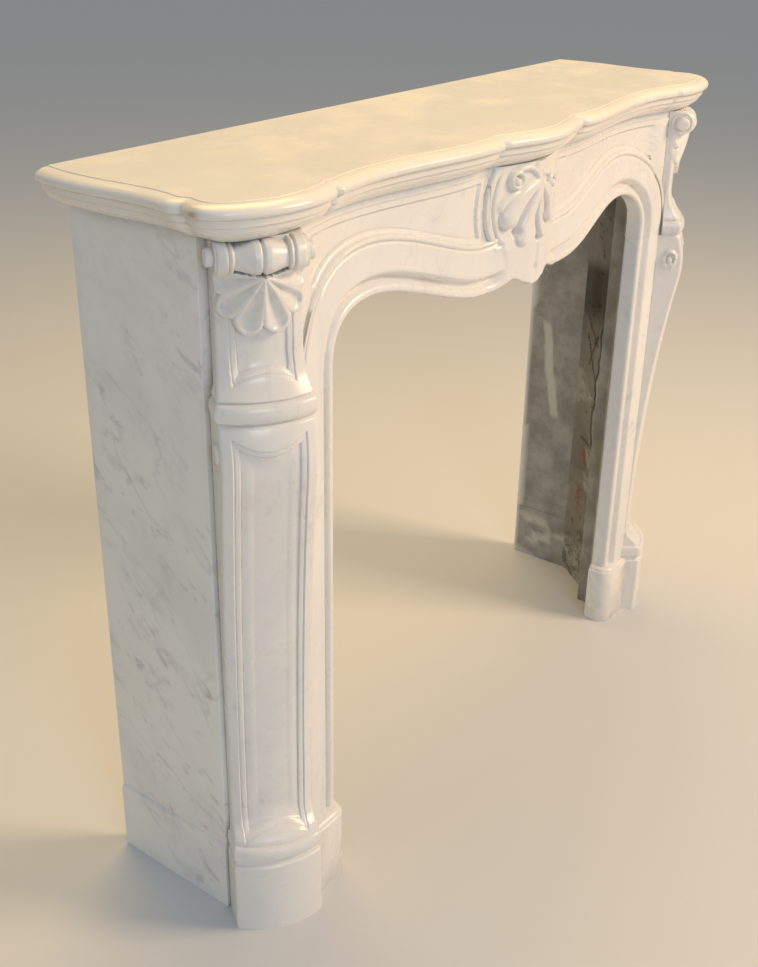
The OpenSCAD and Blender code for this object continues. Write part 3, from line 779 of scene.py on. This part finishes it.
def jamb_plan(inset):
    """Outline of the jamb in plan, from the reveal round the moulded front to its sawn back."""
    s = np.concatenate([[0], np.linspace(0.4, 64, 70)])
    x = -jamb_x - s
    y = -(face(x) + np.interp(s, section[:, 0], section[:, 1]))
    ring = np.column_stack([x, y])
    ring = np.concatenate([[[-jamb_x, -leg_d + 30], [-jamb_x, -leg_d + 15]], ring,
                           [[-cx + 14, -leg_d + 34], [-cx - 2, -slab_d + 6], [-jamb_x - 78, -slab_d + 6],
                            [-jamb_x - 60, -slab_d - 13], [-jamb_x - 42, -slab_d - 20],
                            [-jamb_x - 20, -slab_d - 31]]])
    inward = ring.mean(0) - ring
    return ring + inward / np.linalg.norm(inward, axis=1)[:, None] * inset


def plinth_plan(inset):
    """Outline of the jamb's foot block in plan, a round corner towards the opening."""
    r, front_at = 26.0, -(leg_d + 15)
    a = np.linspace(0, math.pi / 2, 20)
    x0, y0 = -jamb_x + 12.5 - r, front_at + r
    ring = np.column_stack([x0 + (r - inset) * np.cos(a), y0 - (r - inset) * np.sin(a)])
    return np.concatenate([[[-jamb_x + 12.5 - inset, front_at + 45]], ring,
                           [[-cx + 50, front_at + inset], [-cx + 50, front_at + 45]]])


def upright(plan, levels):
    """Closed shell over a plan, from (height, inset) pairs."""
    return tube([np.column_stack([plan(s), np.full(len(plan(s)), z)]) for z, s in levels])


def slice_at(obj, axis, at, which):
    """Cuts the faces that which() picks by their middle, so that the corner values can change there."""
    work = bmesh.new()
    work.from_mesh(obj.data)
    point, way = [0.0, 0.0, 0.0], [0.0, 0.0, 0.0]
    point[axis] = at / 1000 + (wall if axis == 1 else 0.0)
    way[axis] = 1.0
    to_wall = Vector((0, wall * 1000, 0))
    picked = [quad for quad in work.faces if which(quad.calc_center_median() * 1000 - to_wall)]
    edges = list({edge for quad in picked for edge in quad.edges})
    corners = list({corner for quad in picked for corner in quad.verts})
    bmesh.ops.bisect_plane(work, geom=corners + edges + picked, plane_co=point, plane_no=way, dist=1e-6)
    work.to_mesh(obj.data)
    work.free()


def build_leg(name, side):
    def place(p):
        return console_point(p) * [-side, 1, 1]

    def flip(p):
        return np.asarray(p) * [-side, 1, 1]

    shell_points, shell_faces = tube(rings)
    leg = make_mesh(name, place(shell_points), shell_faces)
    parts = []
    for way in (-1, 1):
        points, faces = spun(scroll_end, end_t, way)
        parts.append(make_mesh("scroll_end", place(points), faces))
    # body of the block behind the console's front, wide below the joint and narrow above it
    x0, x1, front_at = -cx - 60, -jamb_x - 40, -leg_d - 60
    bounds = [(x0, front_at), (x1, front_at), (x1, -slab_d - 0.2), (x0, -slab_d - 0.2)]
    for first, last, near, z0, z1 in ((-57.4, 57.4, 38, 0, joint_z - 2.4),
                                      (-51.6, end_t - 0.3, 26, joint_z - 2.6, shelf_z)):
        core = block("core", [(first, near), (last, near), (last, 180), (first, 180)], z0, z1, place)
        keep_in = block("keep", bounds, z0 - 5, z1 + 5, flip)
        parts.append(join(core, [keep_in], "INTERSECT"))
    points, faces = upright(jamb_plan, [(0, 0), (joint_z - 1.0, 0), (joint_z - 0.2, 0.35), (joint_z, 1.0)])
    parts.append(make_mesh("jamb", flip(points), faces))
    points, faces = upright(plinth_plan, [(0, 0.6), (0.8, 0), (110, 0), (112, 0.3), (113, 1.2), (113.6, 2.4),
                                          (114.6, 2.8), (116, 3.2), (118, 4.6), (119.6, 7), (120.8, 10),
                                          (121.6, 13), (122, 16)])
    parts.append(make_mesh("jamb_plinth", flip(points), faces))
    join(leg, parts)
    rear = [(-cx - 200, -slab_d), (-cx + 250, -slab_d), (-cx + 250, 300), (-cx - 200, 300)]
    behind = block("behind", rear, -9, top, flip)
    join(leg, [behind], "DIFFERENCE")
    # polished stone ends and sawn stone begins between these two cuts
    polished_to, sawn_from = -leg_d + 27, -leg_d + 34
    for at in (polished_to, sawn_from):
        slice_at(leg, 1, at, lambda p: abs(p.x) < cx)
    for at in (cx - 8, cx - 9, 8 - cx, 9 - cx):
        slice_at(leg, 0, at, lambda p: p.y > -leg_d + 15)
    clean(leg, 40)

    def sawn(p, n):
        back = soft_step(p[:, 1], polished_to, sawn_from) * (np.abs(p[:, 0]) < cx - 8) * (n[:, 1] > -0.5)
        head = (p[:, 2] > shelf_z - 1) & (p[:, 1] > 12 - leg_d)
        bed = (p[:, 2] > joint_z - 1.5) & (p[:, 2] < joint_z + 1)
        return np.maximum(back, np.where(n[:, 2] > 0.9, head | bed, 0.0))

    paint(leg, raw=sawn, reach=3)
    return leg


left_leg = build_leg("left_leg", -1)
finish_piece(left_leg, "left_leg", marble("marble_left_leg", vein=0.40, cloud=0.30, shift=(5.2, 1.0, 0.3)))
right_leg = build_leg("right_leg", 1)
finish_piece(right_leg, "right_leg", marble("marble_right_leg", vein=0.40, cloud=0.30, shift=(8.4, 3.0, 0.8)))

# ---------------------------------------------------------------------------------------
# Side returns. Plain sawn slabs, polished on the outside only, that run from the legs to the
# wall. Each stands on a skirting block of its own, a little proud, with a chamfered top.
# ---------------------------------------------------------------------------------------


def lumps(a, b, seed, scale):
    """Smooth random heights between -1 and 1 over two coordinates in mm."""
    rng = np.random.default_rng(seed)
    total, weight = np.zeros(np.shape(a)), 0.0
    for octave in range(4):
        size = scale / 2 ** octave
        table = rng.uniform(-1, 1, (64, 64))
        i, j = np.asarray(a) / size + 97, np.asarray(b) / size + 97
        i0, j0 = np.floor(i).astype(int), np.floor(j).astype(int)
        fi, fj = i - i0, j - j0
        fi, fj = fi * fi * (3 - 2 * fi), fj * fj * (3 - 2 * fj)
        pick = [[table[(i0 + di) % 64, (j0 + dj) % 64] for dj in (0, 1)] for di in (0, 1)]
        total += ((pick[0][0] * (1 - fi) + pick[1][0] * fi) * (1 - fj)
                  + (pick[0][1] * (1 - fi) + pick[1][1] * fi) * fj) * 0.6 ** octave
        weight += 0.6 ** octave
    return total / weight


def softened(points, faces, name):
    """Plain block with its arrises taken off."""
    obj = make_mesh(name, points, faces)
    bevel = obj.modifiers.new("arris", "BEVEL")
    bevel.width, bevel.segments, bevel.limit_method = 0.0012, 3, "ANGLE"
    bevel.angle_limit = math.radians(30)
    apply_steps(obj)
    obj.data.shade_smooth()
    obj.data.set_sharp_from_angle(angle=math.radians(40))
    return obj


def slab_points(side, ring, y0, y1):
    """Prism along the wall-to-front way on a ring in x (outward) and z."""
    n = len(ring)
    points = [(side * x, -y0, z) for x, z in ring] + [(side * x, -y1, z) for x, z in ring]
    faces = [tuple(range(n)), tuple(range(2 * n - 1, n - 1, -1))]
    return points, faces + [(i, (i + 1) % n, n + (i + 1) % n, n + i) for i in range(n)]


def cut_fine(obj, step):
    """Cuts a plain block into small faces, so that its corner values can vary."""
    work = bmesh.new()
    work.from_mesh(obj.data)
    for axis in range(3):
        values = [v.co[axis] for v in work.verts]
        first, last = min(values), max(values)
        count = int((last - first) / step)
        for i in range(1, count):
            at = [0.0, 0.0, 0.0]
            at[axis] = first + (last - first) * i / count
            way = [0.0, 0.0, 0.0]
            way[axis] = 1.0
            everything = work.verts[:] + work.edges[:] + work.faces[:]
            bmesh.ops.bisect_plane(work, geom=everything, plane_co=at, plane_no=way)
    work.to_mesh(obj.data)
    work.free()


slab_t, skirting_proud = 20, 3.5
skirting_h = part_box("left_skirting")[1].z * 1000
inner = side_x - slab_t


def slab_sawn(p, n):
    """The inner face and the end at the wall are left as the saw cut them."""
    return np.maximum((np.abs(p[:, 0]) < inner + 0.8) * soft_step(-p[:, 1], 2, 5), n[:, 1] > 0.8)


def plaster_strip(p):
    strip = np.abs(p[:, 1] + 40 + (545 - p[:, 2]) * 0.15 + 5 * lumps(p[:, 2], p[:, 1], 5, 40))
    return soft_step(strip, 12, 7) * soft_step(p[:, 2], 338, 350) * soft_step(p[:, 2], 552, 538)


def plaster_patches(p):
    return soft_step(lumps(p[:, 1], p[:, 2], 9, 34), 0.05, 0.3) * soft_step(p[:, 2], 112, 90)


def build_return(side, word):
    look = marble("marble_" + word + "_slab", ground=(0.86, 0.85, 0.81, 1.0), vein=0.78, cloud=0.5,
                  gloss=0.34, tilt=0.85, shift=(1.3 * side, 4.2, 2.0))
    outline = [(inner, skirting_h), (side_x, skirting_h), (side_x, shelf_z), (inner, shelf_z)]
    slab = softened(*slab_points(side, outline, 0, slab_d), word + "_side_slab")
    cut_fine(slab, 0.018)
    # a strip of old plaster is left on the inner face, so the faces there are cut finer
    for at in range(325, 566, 6):
        slice_at(slab, 2, at, lambda p: True)
    for at in range(-90, -9, 5):
        slice_at(slab, 1, at, lambda p: 320 < p.z < 570)
    paint(slab, raw=slab_sawn, plaster=plaster_strip, reach=1)
    finish_piece(slab, word + "_side_slab", look)
    out_x = side_x + skirting_proud
    outline = [(inner, 0), (out_x, 0), (out_x, skirting_h - skirting_proud), (side_x, skirting_h),
               (inner, skirting_h)]
    skirting = softened(*slab_points(side, outline, 0, slab_d), word + "_skirting")
    cut_fine(skirting, 0.009)
    paint(skirting, raw=slab_sawn, plaster=plaster_patches, reach=1)
    finish_piece(skirting, word + "_skirting", look)


build_return(-1, "left")
build_return(1, "right")

# ---------------------------------------------------------------------------------------
# Mortar. Old bedding mortar in the corner between slab and leg, thrown in by hand against
# the brick and torn when the mantel was taken down: lumps, holes, brick dust and rubble.
# ---------------------------------------------------------------------------------------


def mortar_material():
    material = bpy.data.materials.new("mortar")
    material.use_nodes = True
    tree = material.node_tree
    tree.nodes.clear()
    place = set_node(tree, "ShaderNodeTexCoord")
    spot = place.outputs["Object"]
    big = noise(tree, spot, 7.0, 6.0, 0.6)
    colour = mix_colour(tree, ramp(tree, big, 0.34, 0.66), (0.20, 0.18, 0.15, 1.0), (0.33, 0.305, 0.26, 1.0))
    pale = painted(tree, "pale")
    brick = painted(tree, "brick")
    grain = noise(tree, spot, 60.0, 6.0, 0.75)
    colour = mix_colour(tree, times(tree, pale, ramp(tree, grain, 0.3, 0.55)),
                        colour, (0.56, 0.53, 0.455, 1.0))
    colour = mix_colour(tree, times(tree, brick, ramp(tree, grain, 0.35, 0.6)),
                        colour, (0.33, 0.125, 0.07, 1.0))
    # painted shade: the hollow behind the torn edge, that edge and the cracks are mixed to near black
    painted_shade = painted(tree, "stain")
    colour = mix_colour(tree, painted_shade, colour, (0.075, 0.066, 0.055, 1.0))
    hollow = painted(tree, "hollow")
    dirt_and_shade = set_node(tree, "ShaderNodeGroup", node_tree=DIRT_AND_SHADE)
    tree.links.new(spot, dirt_and_shade.inputs["Vector"])
    tree.links.new(hollow, dirt_and_shade.inputs["Hollow"])
    # dirt and painted shade in the mortar's hollows, mixed in near black
    colour = mix_colour(tree, times(tree, dirt_and_shade.outputs["Dirt_and_shade"], 0.4), colour, (0.06, 0.052, 0.044, 1.0))
    bump = set_node(tree, "ShaderNodeBump", [("Height", grain)], Strength=0.9, Distance=0.006)
    shade = set_node(tree, "ShaderNodeBsdfPrincipled", [("Base Color", colour), ("Normal", bump.outputs[0])])
    shade.inputs["Roughness"].default_value = 0.95
    set_node(tree, "ShaderNodeOutputMaterial", [("Surface", shade.outputs[0])])
    return material


mortar_look = mortar_material()
mortar_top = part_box("left_mortar")[1].z * 1000


def crumb_tree():
    """Crumbs of mortar on the faces of a torn surface, as thick as its corner value "loose" says."""
    tree = bpy.data.node_groups.new("crumbs", "GeometryNodeTree")
    tree.interface.new_socket(name="Geometry", in_out="INPUT", socket_type="NodeSocketGeometry")
    for name, kind in (("Amount", "Float"), ("Smallest", "Float"), ("Largest", "Float"), ("Seed", "Int"),
                       ("Stone", "Material")):
        tree.interface.new_socket(name=name, in_out="INPUT", socket_type="NodeSocket" + kind)
    tree.interface.new_socket(name="Geometry", in_out="OUTPUT", socket_type="NodeSocketGeometry")
    given, made = tree.nodes.new("NodeGroupInput").outputs, tree.nodes.new("NodeGroupOutput").inputs
    loose = set_node(tree, "GeometryNodeInputNamedAttribute", data_type="FLOAT", Name="loose")
    thick = times(tree, given["Amount"], loose.outputs["Attribute"])
    points = set_node(tree, "GeometryNodeDistributePointsOnFaces",
                      [("Mesh", given["Geometry"]), ("Density", thick), ("Seed", given["Seed"])])
    crumb = set_node(tree, "GeometryNodeMeshIcoSphere", Radius=1.0)
    size = set_node(tree, "FunctionNodeRandomValue", [("Min", given["Smallest"]), ("Max", given["Largest"]),
                                                      ("Seed", given["Seed"])], data_type="FLOAT_VECTOR")
    put = set_node(tree, "GeometryNodeInstanceOnPoints",
                   [("Points", points.outputs["Points"]), ("Rotation", points.outputs["Rotation"]),
                    ("Instance", crumb.outputs["Mesh"]), ("Scale", size.outputs["Value"])])
    both = set_node(tree, "GeometryNodeJoinGeometry", [(0, put.outputs["Instances"]), (0, given["Geometry"])])
    real = set_node(tree, "GeometryNodeRealizeInstances", [(0, both.outputs[0])])
    coat = set_node(tree, "GeometryNodeSetMaterial", [("Geometry", real.outputs[0]),
                                                      ("Material", given["Stone"])])
    tree.links.new(coat.outputs[0], made[0])
    return tree


crumbs = crumb_tree()


def scatter(obj, amount, smallest, largest, seed):
    step = obj.modifiers.new("crumbs", "NODES")
    step.node_group = crumbs
    values = {"Amount": amount, "Smallest": smallest, "Largest": largest, "Seed": seed, "Stone": mortar_look}
    for item in crumbs.interface.items_tree:
        if item.in_out == "INPUT" and item.name in values:
            step[item.identifier] = values[item.name]
    apply_steps(obj)


def build_mortar(word, side, seed):
    corner = np.array([(0, -slab_d + 92), (13, -slab_d + 75), (43, -slab_d + 34), (58, -slab_d)], float)
    length = np.concatenate([[0], np.cumsum(np.hypot(*np.diff(corner, axis=0).T))])
    steps = np.linspace(0, length[-1], 62)
    z = np.linspace(0, mortar_top, 330)
    S, Zm = np.meshgrid(steps, z)
    px = np.interp(S, length, corner[:, 0])
    py = np.interp(S, length, corner[:, 1])
    inside = np.clip(np.minimum(S, length[-1] - S) / 9, 0, 1)
    rough_in = 4.0 + 3.4 * lumps(S, Zm, seed, 60) + 1.5 * lumps(S, Zm, seed + 1, 12)
    holes = 11 * soft_step(Zm, 560, 610) * soft_step(Zm, 705, 670) * soft_step(S, 20, 40)
    back_off = np.clip(rough_in + holes, 0.6, 20) * inside
    back_off *= np.clip((mortar_top - Zm) / 4, 0.0, 1) * 0.999 + 0.001
    # pressed in towards the corner of slab and leg
    dx, dy = -0.66, -0.75
    qx, qy = px + dx * back_off, py + dy * back_off
    qx = np.maximum(qx, 0.4)
    qy = np.maximum(qy, -slab_d + 0.4)
    face_grid = np.stack([-(inner - qx), qy, Zm], -1)
    close = np.stack([np.full(len(z), -inner + 0.2), np.full(len(z), -slab_d + 0.2), z], -1)[:, None]
    loops = np.concatenate([face_grid, close], axis=1)
    points, faces = tube(loops)
    obj = make_mesh(word + "_mortar", points * [-side, 1, 1], faces, smooth=75)

    def torn_edge(high):
        return -184 + 9 * lumps(high, high * 0, seed + 9, 46)

    def crack(p, from_y, from_z, to_y, to_z, wide):
        """Nearness to a straight crack, 1 on its line."""
        way = np.array([to_y - from_y, to_z - from_z], float)
        t = np.clip(((p[:, 1] - from_y) * way[0] + (p[:, 2] - from_z) * way[1]) / (way @ way), 0, 1)
        wander = 2.2 * lumps(p[:, 1], p[:, 2], seed + 12, 18)
        off = np.hypot(p[:, 1] - from_y - t * way[0], p[:, 2] - from_z - t * way[1]) + wander
        return np.exp(-(off / wide) ** 2)

    def dark(p):
        """Deep shade in the hollow behind the torn edge, along the edge itself and in the cracks."""
        tear = torn_edge(p[:, 2])
        hole = soft_step(p[:, 2], 560, 610) * soft_step(p[:, 2], 705, 670)
        hole = hole * soft_step(p[:, 1], tear - 1, tear + 2)
        edge = np.exp(-((p[:, 1] - tear - 2) / 2.4) ** 2) * soft_step(p[:, 2], 310, 330) * (p[:, 2] < 690)
        lines = [crack(p, -118, 605, -172, 532, 2.4), crack(p, -140, 545, -176, 465, 2.2),
                 crack(p, -172, 552, -150, 486, 2.0), crack(p, -146, 326, -178, 320, 2.2)]
        return np.clip(np.maximum(0.8 * hole, np.maximum(edge, np.max(lines, axis=0))), 0, 1)

    # the painted shade from dark() is stored as the stain value
    paint(obj, stain=dark, reach=2)
    x, y, z = (corner_places(obj.data) * 1000 - [0, wall * 1000, 0]).T
    brick = np.maximum(np.exp(-((y + 163) / 7) ** 2 - ((z - 292) / 17) ** 2),
                       np.exp(-((y + 155) / 6.5) ** 2 - ((z - 190) / 42) ** 2))
    brick = soft_step(brick + 0.35 * lumps(y, z, seed + 8, 14), 0.3, 0.6)
    brick = np.maximum(brick, 0.5 * soft_step(lumps(y, z, seed + 7, 44), 0.1, 0.4) * soft_step(z, 690, 720))
    band = soft_step(y, torn_edge(z) + 1, torn_edge(z) - 1.5) * soft_step(z, 700, 670)
    pale = np.maximum(band * np.where((z > 425) & (z < 556), 1.0, 0.55),
                      0.6 * soft_step(lumps(y, z, seed + 5, 60), 0.2, 0.45))
    pale = np.maximum(pale, 0.8 * soft_step(z, 120, 40) * soft_step(lumps(y, z, seed + 6, 26), -0.2, 0.2))
    loose = (y < -136) * (y > -200) * (0.12 + soft_step(z, 170, 30)) * (z > 6) * (z < mortar_top - 12)
    put_values(obj.data, pale=pale * (1 - brick), brick=brick, loose=loose)
    scatter(obj, 9000.0, 0.0012, 0.0042, seed)
    finish_piece(obj, word + "_mortar", mortar_look)


build_mortar("left", -1, 11)
build_mortar("right", 1, 23)

# ---------------------------------------------------------------------------------------
# Stage. A plain pale floor, a large soft room light, one warm lamp high on the right and a
# cool window on the left, and the camera, standing left of the mantel and looking down at it.
# ---------------------------------------------------------------------------------------

floor_mesh = bpy.data.meshes.new("floor")
far = 40
floor_mesh.from_pydata([(-far, -far, 0), (far, -far, 0), (far, far, 0), (-far, far, 0)], [], [(0, 1, 2, 3)])
floor = bpy.data.objects.new("floor", floor_mesh)
bpy.context.scene.collection.objects.link(floor)
floor_look = bpy.data.materials.new("floor")
floor_look.use_nodes = True
floor_shade = floor_look.node_tree.nodes["Principled BSDF"]
floor_shade.inputs["Base Color"].default_value = (0.66, 0.665, 0.68, 1.0)
floor_shade.inputs["Roughness"].default_value = 0.8
floor.data.materials.append(floor_look)


def lamp(name, at, size, power, colour, aim=(0, 0, 0.6)):
    data = bpy.data.lights.new(name, "AREA")
    data.shape, data.size, data.energy, data.color = "SQUARE", size, power, colour
    obj = bpy.data.objects.new(name, data)
    bpy.context.scene.collection.objects.link(obj)
    obj.location = at
    obj.rotation_euler = (Vector(aim) - Vector(at)).to_track_quat("-Z", "Y").to_euler()


lamp("warm_lamp", (1.6, -2.8, 2.8), 1.2, 105, (1.0, 0.71, 0.43))
lamp("cool_window", (-2.6, -3.4, 2.2), 1.6, 36, (0.68, 0.80, 1.0))
lamp("soft_top", (0.6, 0.9, 3.4), 2.0, 60, (1.0, 0.66, 0.20))
room = bpy.data.worlds.new("room")
bpy.context.scene.world = room
room.use_nodes = True
room.node_tree.nodes["Background"].inputs["Color"].default_value = (0.96, 1.0, 0.99, 1.0)
room.node_tree.nodes["Background"].inputs["Strength"].default_value = 0.35
bpy.context.scene.view_settings.view_transform = "Standard"

lens = bpy.data.cameras.new("camera")
lens.sensor_width, lens.lens, lens.clip_end = 36, 45.354, 50
lens.shift_x, lens.shift_y = -0.00804, -0.04073
camera = bpy.data.objects.new("camera", lens)
bpy.context.scene.collection.objects.link(camera)
bpy.context.scene.camera = camera
heading, down, lean = (math.radians(v) for v in (53.871, 25.201, 1.101))
ahead = Vector((math.sin(heading) * math.cos(down), math.cos(heading) * math.cos(down), -math.sin(down)))
level = Vector((math.cos(heading), -math.sin(heading), 0))
upward = level.cross(ahead)
camera_right = level * math.cos(lean) + upward * math.sin(lean)
camera_up = upward * math.cos(lean) - level * math.sin(lean)
turned = Matrix((camera_right, camera_up, -ahead)).transposed().to_4x4()
camera.matrix_world = Matrix.Translation((-1.52022, -0.99125, 1.36782)) @ turned
